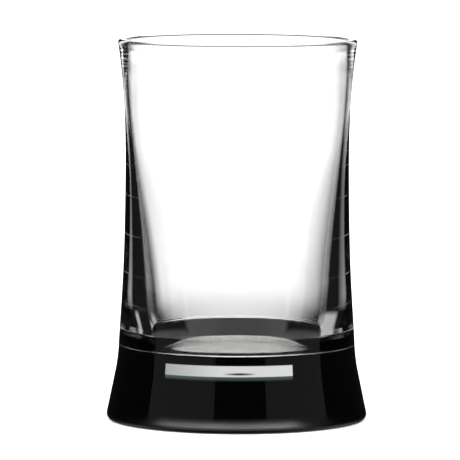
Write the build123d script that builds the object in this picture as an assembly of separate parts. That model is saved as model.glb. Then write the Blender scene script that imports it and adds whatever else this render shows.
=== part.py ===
from build123d import *
import os
from math import cos, radians, sin, tan

# Whiskey tumbler: a thick clear glass bowl, bonded into a solid black glass base.
# Lengths are in millimetres and angles in degrees. The origin is the centre of the
# circle that the tumbler stands on, and +Z runs up its axis. Each piece is turned
# about Z from a half section whose points are (radius, height).

# Outside of the bowl, from the joint up to the rim
HEIGHT = 115.0
RIM_RADIUS = 36.1
RIM_SLOPE = 8.5
SHOULDER_RADIUS = 34.4
SHOULDER_HEIGHT = 98.5
WAIST_RADIUS = 33.85
WAIST_HEIGHT = 68.0
HIP_RADIUS = 34.6
HIP_HEIGHT = 42.0

# Drinking lip
LIP_THICKNESS = 3.0
LIP_OUTER_ROUNDING = 1.0
LIP_INNER_ROUNDING = 0.9

# Cavity: a tapered wall, a rounded corner and a flat floor
CAVITY_MIDDLE_RADIUS = 31.3
CAVITY_MIDDLE_HEIGHT = 78.0
CAVITY_LOW_RADIUS = 28.0
CAVITY_LOW_HEIGHT = 39.5
CAVITY_FOOT_RADIUS = 27.35
CAVITY_FOOT_HEIGHT = 31.0
CAVITY_FLOOR_RADIUS = 22.7
CAVITY_FLOOR_HEIGHT = 20.5
CAVITY_CORNER = 3.6
CAVITY_DRAFT = 8.0

# Joint between the bowl and the base. The bowl ends in a short spigot that sits in
# a socket in the base. A film of clear adhesive fills the gap between them as far
# as the two small chamfers that face each other on the outside.
JOINT_RADIUS = 35.77
JOINT_HEIGHT = 22.7
JOINT_SLOPE = 3.2
JOINT_CHAMFER = 0.2
SPIGOT_RADIUS = 32.0
SPIGOT_HEIGHT = 18.9
FILM_THICKNESS = 0.12

# Black base, from the joint down to the ring that it stands on
BEND_RADIUS = 36.25
BEND_HEIGHT = 17.6
FLANK_HEIGHT = 15.0
FLANK_SLOPE = 11.6
FLARE_RADIUS = 39.4
FOOT_ROUNDING = 1.6
STANDING_RING_WIDTH = 4.5
RECESS_SLOPE_WIDTH = 5.0
RECESS_DEPTH = 1.0

MOUTH_RADIUS = RIM_RADIUS - LIP_THICKNESS
JOINT_FACE_RADIUS = JOINT_RADIUS - JOINT_CHAMFER
BASE_TOP = JOINT_HEIGHT - FILM_THICKNESS
SOCKET_RADIUS = SPIGOT_RADIUS + FILM_THICKNESS
SOCKET_FLOOR = SPIGOT_HEIGHT - FILM_THICKNESS


def upward(lean):
    """Direction that rises and leans outwards by an angle from the vertical."""
    return (sin(radians(lean)), cos(radians(lean)))


def downward(lean):
    """Direction that falls and leans outwards by an angle from the vertical."""
    return (sin(radians(lean)), -cos(radians(lean)))


def turned(edges):
    """Fill a closed half section, stand it upright and turn it about Z."""
    half_section = Plane.XZ * make_face(edges)
    return revolve(half_section, Axis.Z)


def clear_vessel():
    """Bowl with a waisted outside, a tapered cavity, a rounded lip and a spigot."""
    spigot_centre = (0, SPIGOT_HEIGHT)
    spigot_edge = (SPIGOT_RADIUS, SPIGOT_HEIGHT)
    spigot_root = (SPIGOT_RADIUS, JOINT_HEIGHT)
    face_edge = (JOINT_FACE_RADIUS, JOINT_HEIGHT)
    wall_foot = (JOINT_RADIUS, JOINT_HEIGHT + JOINT_CHAMFER)
    lip_outside = (RIM_RADIUS, HEIGHT - LIP_OUTER_ROUNDING)
    lip_top_outer = (RIM_RADIUS - LIP_OUTER_ROUNDING, HEIGHT)
    lip_top_inner = (MOUTH_RADIUS + LIP_INNER_ROUNDING, HEIGHT)
    lip_inside = (MOUTH_RADIUS, HEIGHT - LIP_INNER_ROUNDING)
    corner_reach = CAVITY_CORNER * cos(radians(CAVITY_DRAFT))
    corner_rise = CAVITY_CORNER * (1 - sin(radians(CAVITY_DRAFT)))
    corner_top = (CAVITY_FLOOR_RADIUS + corner_reach, CAVITY_FLOOR_HEIGHT + corner_rise)
    corner_end = (CAVITY_FLOOR_RADIUS, CAVITY_FLOOR_HEIGHT)
    floor_centre = (0, CAVITY_FLOOR_HEIGHT)

    outer_wall = Spline(
        wall_foot,
        (HIP_RADIUS, HIP_HEIGHT),
        (WAIST_RADIUS, WAIST_HEIGHT),
        (SHOULDER_RADIUS, SHOULDER_HEIGHT),
        lip_outside,
        tangents=[upward(-JOINT_SLOPE), upward(RIM_SLOPE)],
    )
    cavity_wall = Spline(
        lip_inside,
        (CAVITY_MIDDLE_RADIUS, CAVITY_MIDDLE_HEIGHT),
        (CAVITY_LOW_RADIUS, CAVITY_LOW_HEIGHT),
        (CAVITY_FOOT_RADIUS, CAVITY_FOOT_HEIGHT),
        corner_top,
        tangents=[downward(0), downward(-CAVITY_DRAFT)],
    )
    return turned([
        Line(spigot_centre, spigot_edge),
        Line(spigot_edge, spigot_root),
        Line(spigot_root, face_edge),
        Line(face_edge, wall_foot),
        outer_wall,
        TangentArc(lip_outside, lip_top_outer, tangent=upward(0)),
        Line(lip_top_outer, lip_top_inner),
        TangentArc(lip_top_inner, lip_inside, tangent=(-1, 0)),
        cavity_wall,
        TangentArc(corner_end, corner_top, tangent=(1, 0)),
        Line(corner_end, floor_centre),
        Line(floor_centre, spigot_centre),
    ])


def bond_film():
    """Cup-shaped film of adhesive round the spigot, with a flange to the chamfers."""
    return turned([
        Line((0, SOCKET_FLOOR), (SOCKET_RADIUS, SOCKET_FLOOR)),
        Line((SOCKET_RADIUS, SOCKET_FLOOR), (SOCKET_RADIUS, BASE_TOP)),
        Line((SOCKET_RADIUS, BASE_TOP), (JOINT_FACE_RADIUS, BASE_TOP)),
        Line((JOINT_FACE_RADIUS, BASE_TOP), (JOINT_FACE_RADIUS, JOINT_HEIGHT)),
        Line((JOINT_FACE_RADIUS, JOINT_HEIGHT), (SPIGOT_RADIUS, JOINT_HEIGHT)),
        Line((SPIGOT_RADIUS, JOINT_HEIGHT), (SPIGOT_RADIUS, SPIGOT_HEIGHT)),
        Line((SPIGOT_RADIUS, SPIGOT_HEIGHT), (0, SPIGOT_HEIGHT)),
        Line((0, SPIGOT_HEIGHT), (0, SOCKET_FLOOR)),
    ])


def black_base():
    """Solid base with a shallow socket, a straight flank and a rounded foot."""
    socket_centre = (0, SOCKET_FLOOR)
    socket_edge = (SOCKET_RADIUS, SOCKET_FLOOR)
    socket_mouth = (SOCKET_RADIUS, BASE_TOP)
    face_edge = (JOINT_FACE_RADIUS, BASE_TOP)
    wall_head = (JOINT_RADIUS, BASE_TOP - JOINT_CHAMFER)
    foot_centre = FLARE_RADIUS - FOOT_ROUNDING
    foot_top = (
        foot_centre + FOOT_ROUNDING * cos(radians(FLANK_SLOPE)),
        FOOT_ROUNDING * (1 + sin(radians(FLANK_SLOPE))),
    )
    flank_drop = FLANK_HEIGHT - foot_top[1]
    flank_top = (foot_top[0] - flank_drop * tan(radians(FLANK_SLOPE)), FLANK_HEIGHT)
    ring_outer = (foot_centre, 0)
    ring_inner = (foot_centre - STANDING_RING_WIDTH, 0)
    recess_edge = (ring_inner[0] - RECESS_SLOPE_WIDTH, RECESS_DEPTH)
    recess_centre = (0, RECESS_DEPTH)

    shoulder = Spline(
        wall_head,
        (BEND_RADIUS, BEND_HEIGHT),
        flank_top,
        tangents=[downward(JOINT_SLOPE), downward(FLANK_SLOPE)],
    )
    return turned([
        Line(socket_centre, socket_edge),
        Line(socket_edge, socket_mouth),
        Line(socket_mouth, face_edge),
        Line(face_edge, wall_head),
        shoulder,
        Line(flank_top, foot_top),
        TangentArc(foot_top, ring_outer, tangent=downward(FLANK_SLOPE)),
        Line(ring_outer, ring_inner),
        Spline(ring_inner, recess_edge, tangents=[(-1, 0.3), (-1, 0)]),
        Line(recess_edge, recess_centre),
        Line(recess_centre, socket_centre),
    ])


os.makedirs("parts", exist_ok=True)
export_step(clear_vessel(), "parts/clear_vessel.step")
export_step(bond_film(), "parts/bond_film.step")
export_step(black_base(), "parts/black_base.step")
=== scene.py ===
from math import cos, pi, radians, sin, tan

import bmesh
import bpy
import numpy as np
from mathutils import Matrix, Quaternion, Vector


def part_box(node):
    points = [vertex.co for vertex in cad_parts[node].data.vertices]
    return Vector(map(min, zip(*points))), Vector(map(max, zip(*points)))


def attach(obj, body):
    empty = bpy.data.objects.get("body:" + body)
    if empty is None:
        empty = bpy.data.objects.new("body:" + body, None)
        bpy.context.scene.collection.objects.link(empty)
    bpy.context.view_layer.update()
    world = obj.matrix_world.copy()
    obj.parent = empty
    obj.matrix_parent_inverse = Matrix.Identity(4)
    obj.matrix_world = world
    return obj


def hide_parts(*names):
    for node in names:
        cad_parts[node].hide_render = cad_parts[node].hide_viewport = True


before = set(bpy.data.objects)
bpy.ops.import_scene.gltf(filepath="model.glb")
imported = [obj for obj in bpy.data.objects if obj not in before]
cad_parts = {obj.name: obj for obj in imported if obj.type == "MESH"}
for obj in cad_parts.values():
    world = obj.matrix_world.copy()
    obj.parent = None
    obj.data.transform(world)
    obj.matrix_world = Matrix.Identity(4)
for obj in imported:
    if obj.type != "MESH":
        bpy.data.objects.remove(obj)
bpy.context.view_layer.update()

# Metres and degrees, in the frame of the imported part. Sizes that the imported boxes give
# are read from them. The others are the driving sizes of the half sections.
MM = 0.001
BOWL_LOW, BOWL_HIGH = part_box("clear_vessel")
FILM_LOW, FILM_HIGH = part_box("bond_film")
BASE_LOW, BASE_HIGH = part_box("black_base")

# Outside of the bowl
HEIGHT = BOWL_HIGH.z
RIM_RADIUS = BOWL_HIGH.x
RIM_SLOPE = 8.5
SHOULDER_RADIUS = 34.4 * MM
SHOULDER_HEIGHT = 98.5 * MM
WAIST_RADIUS = 33.85 * MM
WAIST_HEIGHT = 68.0 * MM
HIP_RADIUS = 34.6 * MM
HIP_HEIGHT = 42.0 * MM

# Drinking lip
LIP_THICKNESS = 3.0 * MM
LIP_OUTER_ROUNDING = 1.0 * MM
LIP_INNER_ROUNDING = 0.9 * MM

# Cavity
MOUTH_RADIUS = RIM_RADIUS - LIP_THICKNESS
CAVITY_MIDDLE_RADIUS = 31.3 * MM
CAVITY_MIDDLE_HEIGHT = 78.0 * MM
CAVITY_LOW_RADIUS = 28.0 * MM
CAVITY_LOW_HEIGHT = 39.5 * MM
CAVITY_FOOT_RADIUS = 27.35 * MM
CAVITY_FOOT_HEIGHT = 31.0 * MM
CAVITY_FLOOR_RADIUS = 22.7 * MM
CAVITY_FLOOR_HEIGHT = 20.5 * MM
CAVITY_CORNER = 3.6 * MM
CAVITY_DRAFT = 8.0

# Joint between the bowl and the base
JOINT_CHAMFER = 0.2 * MM
JOINT_HEIGHT = FILM_HIGH.z
JOINT_FACE_RADIUS = FILM_HIGH.x
JOINT_RADIUS = JOINT_FACE_RADIUS + JOINT_CHAMFER
JOINT_SLOPE = 3.2
SPIGOT_RADIUS = 32.0 * MM
SPIGOT_HEIGHT = BOWL_LOW.z
SOCKET_FLOOR = FILM_LOW.z
BASE_TOP = BASE_HIGH.z
FILM_THICKNESS = SPIGOT_HEIGHT - SOCKET_FLOOR
SOCKET_RADIUS = SPIGOT_RADIUS + FILM_THICKNESS
FILM_CLEARANCE = 0.01 * MM

# Black base
FLARE_RADIUS = BASE_HIGH.x
BEND_RADIUS = 36.25 * MM
BEND_HEIGHT = 17.6 * MM
FLANK_HEIGHT = 15.0 * MM
FLANK_SLOPE = 11.6
FOOT_ROUNDING = 1.6 * MM
STANDING_RING_WIDTH = 4.5 * MM
RECESS_SLOPE_WIDTH = 5.0 * MM
RECESS_DEPTH = 1.0 * MM

# Fineness of the meshes
AROUND = 256
WALL_STEPS = 72
CORNER_STEPS = 14
FACE_STEP = 1.5 * MM
SHARP_ANGLE = 25.0
SAME_POINT = 0.0001 * MM
TOUCHING = 0.001 * MM

# Optics. Glass bonded to glass shows almost no reflection, so the bonded faces carry
# the ratio between the refractive indices of the glass and the adhesive. The film itself
# bends no light, as the bonded faces have already done so.
GLASS_IOR = 1.5
ADHESIVE_IOR = 1.495
FILM_IOR = 1.0

# Wear of the foot where it rubs on tables: the roughness that it adds at its lowest, and
# the heights between which it fades out
FOOT_WEAR = 0.40
WEAR_START = 0.5 * MM
WORN_HEIGHT = 5.0 * MM


# ---------------------------------------------------------------- half sections


def wall_curve(heights, radii, first_slope, last_slope, steps=WALL_STEPS):
    """Smooth wall through a few points, as (radius, height) pairs. Slopes are degrees."""
    heights = np.array(heights)
    radii = np.array(radii)
    gaps = np.diff(heights)
    rises = np.diff(radii) / gaps
    count = len(heights)
    matrix = np.eye(count)
    right = np.zeros(count)
    right[0] = tan(radians(first_slope))
    right[-1] = tan(radians(last_slope))
    for i in range(1, count - 1):
        before = 1 / gaps[i - 1]
        after = 1 / gaps[i]
        matrix[i, i - 1] = before
        matrix[i, i] = 2 * (before + after)
        matrix[i, i + 1] = after
        right[i] = 3 * (rises[i - 1] * before + rises[i] * after)
    slopes = np.linalg.solve(matrix, right)
    at = np.linspace(heights[0], heights[-1], steps)
    order = np.sign(gaps[0])
    k = np.clip(np.searchsorted(heights * order, at * order) - 1, 0, count - 2)
    t = (at - heights[k]) / gaps[k]
    radius = (
        (2 * t**3 - 3 * t**2 + 1) * radii[k]
        + (t**3 - 2 * t**2 + t) * gaps[k] * slopes[k]
        + (3 * t**2 - 2 * t**3) * radii[k + 1]
        + (t**3 - t**2) * gaps[k] * slopes[k + 1]
    )
    return list(zip(radius, at))


def arc(centre, radius, start, end, steps=CORNER_STEPS):
    """Circular arc of (radius, height) pairs. Angles are degrees from the outward axis."""
    angles = np.radians(np.linspace(start, end, steps))
    return [(centre[0] + radius * cos(a), centre[1] + radius * sin(a)) for a in angles]


def straight(start, end, step=FACE_STEP):
    """Straight run of (radius, height) pairs at an even spacing."""
    start = Vector(start)
    end = Vector(end)
    count = max(2, round((end - start).length / step) + 1)
    return [tuple(start.lerp(end, i / (count - 1))) for i in range(count)]


def joined(*runs):
    """One closed outline from several runs, with the shared end points dropped."""
    outline = []
    for run in runs:
        for point in run:
            if not outline or (Vector(point) - Vector(outline[-1])).length > SAME_POINT:
                outline.append(point)
    return outline


def bowl_outline():
    """Half section of the clear bowl, from the axis under it round to the cavity floor."""
    spigot_edge = (SPIGOT_RADIUS, SPIGOT_HEIGHT)
    spigot_root = (SPIGOT_RADIUS, JOINT_HEIGHT)
    face_edge = (JOINT_FACE_RADIUS, JOINT_HEIGHT)
    wall_foot = (JOINT_RADIUS, JOINT_HEIGHT + JOINT_CHAMFER)
    outer_lip = (RIM_RADIUS - LIP_OUTER_ROUNDING, HEIGHT - LIP_OUTER_ROUNDING)
    inner_lip = (MOUTH_RADIUS + LIP_INNER_ROUNDING, HEIGHT - LIP_INNER_ROUNDING)
    corner = (CAVITY_FLOOR_RADIUS, CAVITY_FLOOR_HEIGHT + CAVITY_CORNER)
    corner_top = arc(corner, CAVITY_CORNER, -CAVITY_DRAFT, -90)[0]
    outer_wall = wall_curve(
        [wall_foot[1], HIP_HEIGHT, WAIST_HEIGHT, SHOULDER_HEIGHT, outer_lip[1]],
        [wall_foot[0], HIP_RADIUS, WAIST_RADIUS, SHOULDER_RADIUS, RIM_RADIUS],
        -JOINT_SLOPE,
        RIM_SLOPE,
    )
    cavity_wall = wall_curve(
        [
            inner_lip[1],
            CAVITY_MIDDLE_HEIGHT,
            CAVITY_LOW_HEIGHT,
            CAVITY_FOOT_HEIGHT,
            corner_top[1],
        ],
        [
            MOUTH_RADIUS,
            CAVITY_MIDDLE_RADIUS,
            CAVITY_LOW_RADIUS,
            CAVITY_FOOT_RADIUS,
            corner_top[0],
        ],
        0,
        CAVITY_DRAFT,
    )
    return joined(
        straight((0, SPIGOT_HEIGHT), spigot_edge),
        straight(spigot_edge, spigot_root),
        straight(spigot_root, face_edge),
        straight(face_edge, wall_foot),
        outer_wall,
        arc(outer_lip, LIP_OUTER_ROUNDING, 0, 90),
        arc(inner_lip, LIP_INNER_ROUNDING, 90, 180),
        cavity_wall,
        arc(corner, CAVITY_CORNER, -CAVITY_DRAFT, -90),
        straight((CAVITY_FLOOR_RADIUS, CAVITY_FLOOR_HEIGHT), (0, CAVITY_FLOOR_HEIGHT)),
    )


def film_outline():
    """Half section of the adhesive: a cup round the spigot and a flange to the groove."""
    top = JOINT_HEIGHT - FILM_CLEARANCE
    flange = BASE_TOP + FILM_CLEARANCE
    cup_top = SPIGOT_HEIGHT - FILM_CLEARANCE
    cup_floor = SOCKET_FLOOR + FILM_CLEARANCE
    outside = SOCKET_RADIUS - FILM_CLEARANCE
    inside = SPIGOT_RADIUS + FILM_CLEARANCE
    return joined(
        straight((0, cup_floor), (outside, cup_floor)),
        straight((outside, cup_floor), (outside, flange)),
        straight((outside, flange), (JOINT_FACE_RADIUS, flange)),
        straight((JOINT_FACE_RADIUS, flange), (JOINT_FACE_RADIUS, top)),
        straight((JOINT_FACE_RADIUS, top), (inside, top)),
        straight((inside, top), (inside, cup_top)),
        straight((inside, cup_top), (0, cup_top)),
    )


def base_outline():
    """Half section of the black base, from the socket floor round to the recess."""
    wall_head = (JOINT_RADIUS, BASE_TOP - JOINT_CHAMFER)
    foot = (FLARE_RADIUS - FOOT_ROUNDING, FOOT_ROUNDING)
    foot_top = arc(foot, FOOT_ROUNDING, FLANK_SLOPE, -90)[0]
    flank_drop = FLANK_HEIGHT - foot_top[1]
    flank_top = (foot_top[0] - flank_drop * tan(radians(FLANK_SLOPE)), FLANK_HEIGHT)
    ring_outer = (foot[0], 0)
    ring_inner = (foot[0] - STANDING_RING_WIDTH, 0)
    recess_edge = (ring_inner[0] - RECESS_SLOPE_WIDTH, RECESS_DEPTH)
    shoulder = wall_curve(
        [wall_head[1], BEND_HEIGHT, FLANK_HEIGHT],
        [wall_head[0], BEND_RADIUS, flank_top[0]],
        -JOINT_SLOPE,
        -FLANK_SLOPE,
        WALL_STEPS // 2,
    )
    return joined(
        straight((0, SOCKET_FLOOR), (SOCKET_RADIUS, SOCKET_FLOOR)),
        straight((SOCKET_RADIUS, SOCKET_FLOOR), (SOCKET_RADIUS, BASE_TOP)),
        straight((SOCKET_RADIUS, BASE_TOP), (JOINT_FACE_RADIUS, BASE_TOP)),
        straight((JOINT_FACE_RADIUS, BASE_TOP), wall_head),
        shoulder,
        straight(flank_top, foot_top),
        arc(foot, FOOT_ROUNDING, FLANK_SLOPE, -90),
        straight(ring_outer, ring_inner),
        straight(ring_inner, recess_edge),
        straight(recess_edge, (0, RECESS_DEPTH)),
    )


def lathe(name, outline):
    """Mesh turned about Z from a half section whose ends lie on the axis."""
    mesh_build = bmesh.new()
    rings = []
    for radius, height in outline:
        if radius < TOUCHING:
            rings.append([mesh_build.verts.new((0, 0, height))])
            continue
        ring = []
        for i in range(AROUND):
            angle = 2 * pi * (i + 0.5) / AROUND
            ring.append(mesh_build.verts.new((radius * cos(angle), radius * sin(angle), height)))
        rings.append(ring)
    for lower, upper in zip(rings, rings[1:]):
        for i in range(AROUND):
            j = (i + 1) % AROUND
            if len(lower) == 1:
                mesh_build.faces.new((lower[0], upper[j], upper[i]))
            elif len(upper) == 1:
                mesh_build.faces.new((lower[i], lower[j], upper[0]))
            else:
                mesh_build.faces.new((lower[i], lower[j], upper[j], upper[i]))
    bmesh.ops.recalc_face_normals(mesh_build, faces=mesh_build.faces)
    mesh = bpy.data.meshes.new(name)
    mesh_build.to_mesh(mesh)
    mesh_build.free()
    mesh.shade_smooth()
    mesh.set_sharp_from_angle(angle=radians(SHARP_ANGLE))
    piece = bpy.data.objects.new(name, mesh)
    bpy.context.scene.collection.objects.link(piece)
    return piece


# ---------------------------------------------------------------- materials


def new_material(name):
    """Material with a Principled shader. Returns it with its node tree and shader."""
    material = bpy.data.materials.new(name)
    material.use_nodes = True
    tree = material.node_tree
    return material, tree, tree.nodes["Principled BSDF"]


def noise(tree, size, detail=2.0, stretch=(1, 1, 1)):
    """Noise in object space whose features are about `size` metres across."""
    place = tree.nodes.new("ShaderNodeTexCoord")
    mapping = tree.nodes.new("ShaderNodeMapping")
    mapping.inputs["Scale"].default_value = [s / size for s in stretch]
    texture = tree.nodes.new("ShaderNodeTexNoise")
    texture.inputs["Scale"].default_value = 1.0
    texture.inputs["Detail"].default_value = detail
    tree.links.new(place.outputs["Object"], mapping.inputs["Vector"])
    tree.links.new(mapping.outputs["Vector"], texture.inputs["Vector"])
    return texture.outputs["Fac"]


def between(tree, value, low, high, from_low=0.3, from_high=0.7):
    """Number that runs from low to high as value runs over the middle of its range."""
    node = tree.nodes.new("ShaderNodeMapRange")
    node.inputs["From Min"].default_value = from_low
    node.inputs["From Max"].default_value = from_high
    node.inputs["To Min"].default_value = low
    node.inputs["To Max"].default_value = high
    tree.links.new(value, node.inputs["Value"])
    return node.outputs["Result"]


def mixed_colour(tree, value, first, second):
    """Colour that varies between two colours."""
    node = tree.nodes.new("ShaderNodeMix")
    node.data_type = "RGBA"
    node.inputs["A"].default_value = (*first, 1)
    node.inputs["B"].default_value = (*second, 1)
    tree.links.new(value, node.inputs["Factor"])
    return node.outputs["Result"]


def bump(tree, shader, height, depth):
    """Relief of a given depth in metres on the shader's normal."""
    node = tree.nodes.new("ShaderNodeBump")
    node.inputs["Strength"].default_value = 1.0
    node.inputs["Distance"].default_value = depth
    tree.links.new(height, node.inputs["Height"])
    tree.links.new(node.outputs["Normal"], shader.inputs["Normal"])


def clear_glass(name, ior):
    """Colourless pressed glass: faint long ripples, a trace of green and light handling."""
    material, tree, shader = new_material(name)
    shader.inputs["Transmission Weight"].default_value = 1.0
    shader.inputs["IOR"].default_value = ior
    ripple = noise(tree, 14 * MM, 1.0, (1, 1, 0.5))
    handling = noise(tree, 9 * MM, 4.0)
    tint = mixed_colour(tree, handling, (1.0, 1.0, 1.0), (0.992, 0.997, 0.996))
    tree.links.new(tint, shader.inputs["Base Color"])
    tree.links.new(between(tree, handling, 0.0, 0.006), shader.inputs["Roughness"])
    bump(tree, shader, ripple, 0.004 * MM)
    absorption = tree.nodes.new("ShaderNodeVolumeAbsorption")
    absorption.inputs["Color"].default_value = (0.80, 0.88, 0.86, 1)
    absorption.inputs["Density"].default_value = 1.0
    output = tree.nodes["Material Output"]
    tree.links.new(absorption.outputs["Volume"], output.inputs["Volume"])
    return material


def adhesive():
    """Clear cured adhesive, seen only as a hairline in the joint groove."""
    material, tree, shader = new_material("bond_adhesive")
    shader.inputs["Transmission Weight"].default_value = 1.0
    shader.inputs["IOR"].default_value = FILM_IOR
    streaks = noise(tree, 2 * MM, 3.0)
    tint = mixed_colour(tree, streaks, (0.97, 0.97, 0.96), (0.90, 0.90, 0.88))
    tree.links.new(tint, shader.inputs["Base Color"])
    tree.links.new(between(tree, streaks, 0.02, 0.10), shader.inputs["Roughness"])
    bump(tree, shader, streaks, 0.01 * MM)
    return material


def ground_glass():
    """Finely ground edge of the bowl at the joint."""
    material, tree, shader = new_material("ground_glass")
    shader.inputs["Transmission Weight"].default_value = 1.0
    shader.inputs["IOR"].default_value = GLASS_IOR
    grain = noise(tree, 0.3 * MM, 3.0)
    tint = mixed_colour(tree, grain, (0.55, 0.57, 0.57), (0.45, 0.47, 0.47))
    tree.links.new(tint, shader.inputs["Base Color"])
    tree.links.new(between(tree, grain, 0.35, 0.5), shader.inputs["Roughness"])
    bump(tree, shader, grain, 0.01 * MM)
    return material


def height_above_table(tree):
    """Height of the shaded point above the ring that the tumbler stands on."""
    place = tree.nodes.new("ShaderNodeTexCoord")
    split = tree.nodes.new("ShaderNodeSeparateXYZ")
    tree.links.new(place.outputs["Object"], split.inputs[0])
    return split.outputs["Z"]


def black_glass():
    """Polished black glass with faint ripples and the lightest handling marks."""
    material, tree, shader = new_material("black_glass")
    shader.inputs["IOR"].default_value = GLASS_IOR
    ripple = noise(tree, 12 * MM, 1.0)
    handling = noise(tree, 4 * MM, 5.0)
    colour = mixed_colour(tree, handling, (0.0003, 0.0003, 0.0003), (0.0006, 0.0006, 0.0005))
    tree.links.new(colour, shader.inputs["Base Color"])
    polish = between(tree, handling, 0.012, 0.030)
    wear = between(tree, height_above_table(tree), FOOT_WEAR, 0.0, WEAR_START, WORN_HEIGHT)
    roughness = tree.nodes.new("ShaderNodeMath")
    roughness.operation = "ADD"
    tree.links.new(polish, roughness.inputs[0])
    tree.links.new(wear, roughness.inputs[1])
    tree.links.new(roughness.outputs[0], shader.inputs["Roughness"])
    bump(tree, shader, ripple, 0.003 * MM)
    return material


# ---------------------------------------------------------------- pieces


def place(piece, node, slot):
    """The piece stands for a CAD node, which it hides, and rides on the one body. `slot` is not
    used.
    """
    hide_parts(node)
    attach(piece, "root")


def build_bowl():
    bowl = lathe("clear_bowl", bowl_outline())
    bowl.data.materials.append(clear_glass("clear_glass", GLASS_IOR))
    bowl.data.materials.append(clear_glass("bonded_glass", GLASS_IOR / ADHESIVE_IOR))
    bowl.data.materials.append(ground_glass())
    for face in bowl.data.polygons:
        if face.center.z < JOINT_HEIGHT + TOUCHING:
            face.material_index = 1
        elif face.center.z < JOINT_HEIGHT + JOINT_CHAMFER:
            face.material_index = 2
    place(bowl, "clear_vessel", "clear_glass")


def build_film():
    film = lathe("adhesive_film", film_outline())
    film.data.materials.append(adhesive())
    place(film, "bond_film", "bond_adhesive")


def build_base():
    base = lathe("black_glass_base", base_outline())
    base.data.materials.append(black_glass())
    place(base, "black_base", "black_glass")


# ---------------------------------------------------------------- studio

FLOOR_SIZE = 12.0
FLOOR_DROP = 0.1 * MM
FLOOR_COLOUR = (0.86, 0.86, 0.85)

# Strengths of the light
DIRECT_WHITE = 1.0
DIFFUSE_LIGHT = 2.6
BACKDROP = 1.50
BACKDROP_LIFT = 1.7
TABLE_BESIDE = 0.35
FLOOR_GLOW = 0.01
STRIP_LIGHT = 20.0
STRIP_TINT = (0.50, 0.80, 0.85)
STRIP_TINT_LIGHT = 3.0
PANEL_LIGHT = 0.2

# Edges of the screens and of the table top, as the angle where a fade is dark and the
# angle where it is light. Degrees of azimuth from +Y towards +X, or of elevation.
SCREEN_BOTTOM = (-22.3, -11)
SCREEN_TOP = (20, 15)
SCREEN_LEFT = (-21, -14)
SCREEN_RIGHT = (30, 7)
SCREEN_MIRRORED = (4, 2)
SCREEN_BRIGHTER = (5, 10)
SIDE_REAR_EDGE = (70, 76)
SIDE_FRONT_EDGE = (110, 104)
SIDE_TOP = (3, 1)
THROUGH_EDGE = (24, 30)
THROUGH_TOP = (-26, -28)
BESIDE_TOP = (-21.6, -24)
BELOW_TOP = (-32, -36)
FRONT_EDGE = (112, 118)
FRONT_TOP = (-6, -9)
CONTACT_SHADOW = (-50, -30)

# Windows, as two angles and the width of the soft edge outside them
BESIDE_RIGHT = (32, 54, 8)
BESIDE_LEFT = (-31, -26, 4)
STRIP_WIDTH = (-72, 55, 0.5)
STRIP_HEIGHT = (11.8, 17.1, 0.3)
PANEL_LEFT = (-86, -21, 1)
PANEL_RIGHT = (28, 88, 1)
PANEL_HEIGHT = (-4, 60, 1)

# Tinted edge under the strip, and the weaker left end of the strip
TINT_TOP = (17.0, 17.4)
TINT_BOTTOM = (21.5, 17.4)
STRIP_END = (-72, -15)
STRIP_END_LEVEL = 0.45
STRIP_GAIN = 0.4

# Dark lens in the strip: its centre and half sizes in degrees, and its soft edge
LENS_AZIMUTH = 3
LENS_HALF_WIDTH = 17
LENS_LIFT = 15.6
LENS_HALF_HEIGHT = 0.7
LENS_EDGE = 0.2

# Fall of the camera's rays where they meet the base, degrees
VIEW_DROP = 6.4

# A ray that has crossed both walls of the bowl has crossed four faces
THROUGH_FACES = 3.5


class Studio:
    """World shader written as light by direction: white screens, dark gaps and panels."""

    def __init__(self):
        world = bpy.data.worlds.new("studio")
        bpy.context.scene.world = world
        world.use_nodes = True
        self.tree = world.node_tree
        self.tree.nodes.clear()
        place_node = self.tree.nodes.new("ShaderNodeTexCoord")
        split = self.tree.nodes.new("ShaderNodeSeparateXYZ")
        self.tree.links.new(place_node.outputs["Generated"], split.inputs[0])
        self.x = split.outputs["X"]
        self.y = split.outputs["Y"]
        self.z = split.outputs["Z"]
        self.path = self.tree.nodes.new("ShaderNodeLightPath").outputs
        self.azimuth = self.math("ARCTAN2", self.x, self.y)
        self.spread = self.math("ABSOLUTE", self.azimuth)
        self.elevation = self.math("ARCSINE", self.z)

    def math(self, operation, *values):
        node = self.tree.nodes.new("ShaderNodeMath")
        node.operation = operation
        for socket, value in zip(node.inputs, values):
            if isinstance(value, (int, float)):
                socket.default_value = value
            else:
                self.tree.links.new(value, socket)
        return node.outputs[0]

    def fade(self, value, dark, light):
        """0 at the angle `dark`, 1 at the angle `light` and even in between. Degrees."""
        node = self.tree.nodes.new("ShaderNodeMapRange")
        node.inputs["From Min"].default_value = radians(min(dark, light))
        node.inputs["From Max"].default_value = radians(max(dark, light))
        node.inputs["To Min"].default_value = 0.0 if dark < light else 1.0
        node.inputs["To Max"].default_value = 1.0 if dark < light else 0.0
        self.tree.links.new(value, node.inputs["Value"])
        return node.outputs["Result"]

    def all_of(self, *values):
        result = values[0]
        for value in values[1:]:
            result = self.math("MULTIPLY", result, value)
        return result

    def sum_of(self, *values):
        result = values[0]
        for value in values[1:]:
            result = self.math("ADD", result, value)
        return result

    def any_of(self, *values):
        result = values[0]
        for value in values[1:]:
            result = self.math("MAXIMUM", result, value)
        return result

    def window(self, value, low, high, edge):
        """1 between two angles, with soft edges `edge` degrees wide outside them."""
        return self.all_of(
            self.fade(value, low - edge, low), self.fade(value, high + edge, high)
        )


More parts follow.
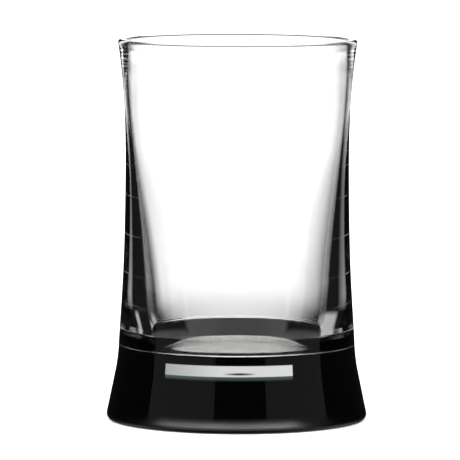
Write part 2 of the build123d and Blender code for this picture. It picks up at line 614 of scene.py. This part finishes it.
def screens(studio):
    """White screens and table top that show through the glass."""
    azimuth = studio.azimuth
    spread = studio.spread
    elevation = studio.elevation
    transmitted = studio.path["Is Transmission Ray"]
    through = studio.math("GREATER_THAN", studio.path["Transmission Depth"], THROUGH_FACES)
    height = studio.all_of(
        studio.fade(elevation, *SCREEN_BOTTOM), studio.fade(elevation, *SCREEN_TOP)
    )
    width = studio.all_of(
        studio.fade(azimuth, *SCREEN_LEFT), studio.fade(azimuth, *SCREEN_RIGHT)
    )
    back = studio.all_of(
        studio.any_of(
            studio.all_of(transmitted, width), studio.fade(spread, *SCREEN_MIRRORED)
        ),
        height,
    )
    side = studio.all_of(
        transmitted,
        studio.fade(spread, *SIDE_REAR_EDGE),
        studio.fade(spread, *SIDE_FRONT_EDGE),
        studio.fade(elevation, *SIDE_TOP),
        height,
    )
    table_through = studio.all_of(
        through, studio.fade(spread, *THROUGH_EDGE), studio.fade(elevation, *THROUGH_TOP)
    )
    table_beside = studio.all_of(
        studio.any_of(
            studio.window(azimuth, *BESIDE_RIGHT), studio.window(azimuth, *BESIDE_LEFT)
        ),
        studio.fade(elevation, *BESIDE_TOP),
    )
    table_beside = studio.math("MULTIPLY", table_beside, TABLE_BESIDE)
    table_front = studio.all_of(
        studio.fade(spread, *FRONT_EDGE), studio.fade(elevation, *FRONT_TOP)
    )
    table_near = studio.all_of(
        studio.any_of(studio.fade(elevation, *BELOW_TOP), table_front),
        studio.any_of(transmitted, studio.fade(elevation, *CONTACT_SHADOW)),
    )
    white = studio.any_of(back, side, table_through, table_beside, table_near)
    lift = studio.math(
        "MULTIPLY", studio.fade(elevation, *SCREEN_BRIGHTER), BACKDROP_LIFT
    )
    return studio.math("MULTIPLY", white, studio.math("ADD", lift, BACKDROP))


def lens_gap(studio, azimuth, lift):
    """0 in the middle of the dark lens in the strip, rising to 1 at its edge."""
    from_middle = studio.math("SUBTRACT", azimuth, radians(LENS_AZIMUTH))
    from_line = studio.math("SUBTRACT", lift, radians(LENS_LIFT))
    across = studio.math("DIVIDE", from_middle, radians(LENS_HALF_WIDTH))
    along = studio.math("DIVIDE", from_line, radians(LENS_HALF_HEIGHT))
    distance = studio.math(
        "ADD", studio.math("POWER", across, 2.0), studio.math("POWER", along, 2.0)
    )
    return studio.math("SMOOTH_MIN", distance, 1.0, LENS_EDGE)


def softboxes(studio):
    """Strip light and dim panels that the black base mirrors, and the strip's tinted edge.

    Azimuths are from -Y here. The strip is bent so that its edges look level on the flared
    base: `lift` is twice the slope of the part of the base that mirrors a direction
    towards the camera.
    """
    towards = studio.math("MULTIPLY", studio.y, -1.0)
    azimuth = studio.math("ARCTAN2", studio.x, towards)
    half_turn = studio.math("COSINE", studio.math("MULTIPLY", azimuth, 0.5))
    height = studio.math("ADD", studio.z, sin(radians(VIEW_DROP)))
    lift = studio.math("ARCSINE", studio.math("DIVIDE", height, half_turn))
    width = studio.all_of(
        studio.math("GREATER_THAN", towards, 0.0), studio.window(azimuth, *STRIP_WIDTH)
    )
    gain = studio.math("MULTIPLY", studio.fade(azimuth, *STRIP_END), STRIP_GAIN)
    strip = studio.all_of(
        width,
        studio.window(lift, *STRIP_HEIGHT),
        lens_gap(studio, azimuth, lift),
        studio.math("ADD", STRIP_END_LEVEL, gain),
    )
    tinted = studio.all_of(
        width, studio.fade(lift, *TINT_TOP), studio.fade(lift, *TINT_BOTTOM)
    )
    panels = studio.all_of(
        studio.any_of(
            studio.window(azimuth, *PANEL_LEFT), studio.window(azimuth, *PANEL_RIGHT)
        ),
        studio.window(studio.elevation, *PANEL_HEIGHT),
    )
    light = studio.sum_of(
        studio.math("MULTIPLY", strip, STRIP_LIGHT),
        studio.math("MULTIPLY", tinted, STRIP_TINT_LIGHT),
        studio.math("MULTIPLY", panels, PANEL_LIGHT),
    )
    mirrored = studio.math("SUBTRACT", 1.0, studio.path["Is Transmission Ray"])
    return studio.math("MULTIPLY", light, mirrored), tinted


def chosen(tree, which, otherwise, value):
    """`value` for the rays that `which` marks, and `otherwise` for the rest."""
    node = tree.nodes.new("ShaderNodeMix")
    node.data_type = "FLOAT"
    tree.links.new(which, node.inputs["Factor"])
    tree.links.new(otherwise, node.inputs["A"])
    node.inputs["B"].default_value = value
    return node.outputs["Result"]


def build_light():
    studio = Studio()
    tree = studio.tree
    mirrored_light, tinted = softboxes(studio)
    glow = studio.sum_of(screens(studio), mirrored_light, FLOOR_GLOW)
    glow = chosen(tree, studio.path["Is Diffuse Ray"], glow, DIFFUSE_LIGHT)
    glow = chosen(tree, studio.path["Is Camera Ray"], glow, DIRECT_WHITE)
    colour = mixed_colour(tree, tinted, (1, 1, 1), STRIP_TINT)
    background = tree.nodes.new("ShaderNodeBackground")
    output = tree.nodes.new("ShaderNodeOutputWorld")
    tree.links.new(glow, background.inputs["Strength"])
    tree.links.new(colour, background.inputs["Color"])
    tree.links.new(background.outputs["Background"], output.inputs["Surface"])


def build_floor():
    mesh = bpy.data.meshes.new("floor")
    half = FLOOR_SIZE / 2
    level = BASE_LOW.z - FLOOR_DROP
    corners = [(-half, -half), (half, -half), (half, half), (-half, half)]
    mesh.from_pydata([(x, y, level) for x, y in corners], [], [(0, 1, 2, 3)])
    floor = bpy.data.objects.new("floor", mesh)
    bpy.context.scene.collection.objects.link(floor)
    material, tree, shader = new_material("pale_floor")
    shader.inputs["Roughness"].default_value = 0.9
    shader.inputs["Specular IOR Level"].default_value = 0.0
    shader.inputs["Base Color"].default_value = (*FLOOR_COLOUR, 1)
    mesh.materials.append(material)
    floor.visible_transmission = False
    floor.visible_glossy = False


# ---------------------------------------------------------------- camera

CAMERA_DISTANCE = 1.530
CAMERA_HEIGHT = 0.194
AIM_HEIGHT = 0.0572
SENSOR = 36.0
LENS = 397.6
SHIFT = -0.0154
ROLL = 0.19


def build_camera():
    data = bpy.data.cameras.new("camera")
    data.sensor_width = SENSOR
    data.lens = LENS
    data.shift_x = SHIFT
    camera = bpy.data.objects.new("camera", data)
    camera.location = (0, -CAMERA_DISTANCE, CAMERA_HEIGHT)
    aim = Vector((0, 0, AIM_HEIGHT)) - camera.location
    level = aim.to_track_quat("-Z", "Y")
    camera.rotation_euler = (level @ Quaternion((0, 0, 1), radians(ROLL))).to_euler()
    bpy.context.scene.collection.objects.link(camera)
    bpy.context.scene.camera = camera


def set_light_paths():
    """Enough bounces for light that runs round inside the thick glass."""
    scene = bpy.context.scene
    scene.view_settings.view_transform = "Standard"
    scene.cycles.max_bounces = 32
    scene.cycles.transmission_bounces = 32
    scene.cycles.glossy_bounces = 16
    scene.cycles.caustics_reflective = True
    scene.cycles.caustics_refractive = True
    scene.cycles.blur_glossy = 0.0


build_bowl()
build_film()
build_base()
build_light()
build_floor()
build_camera()
set_light_paths()
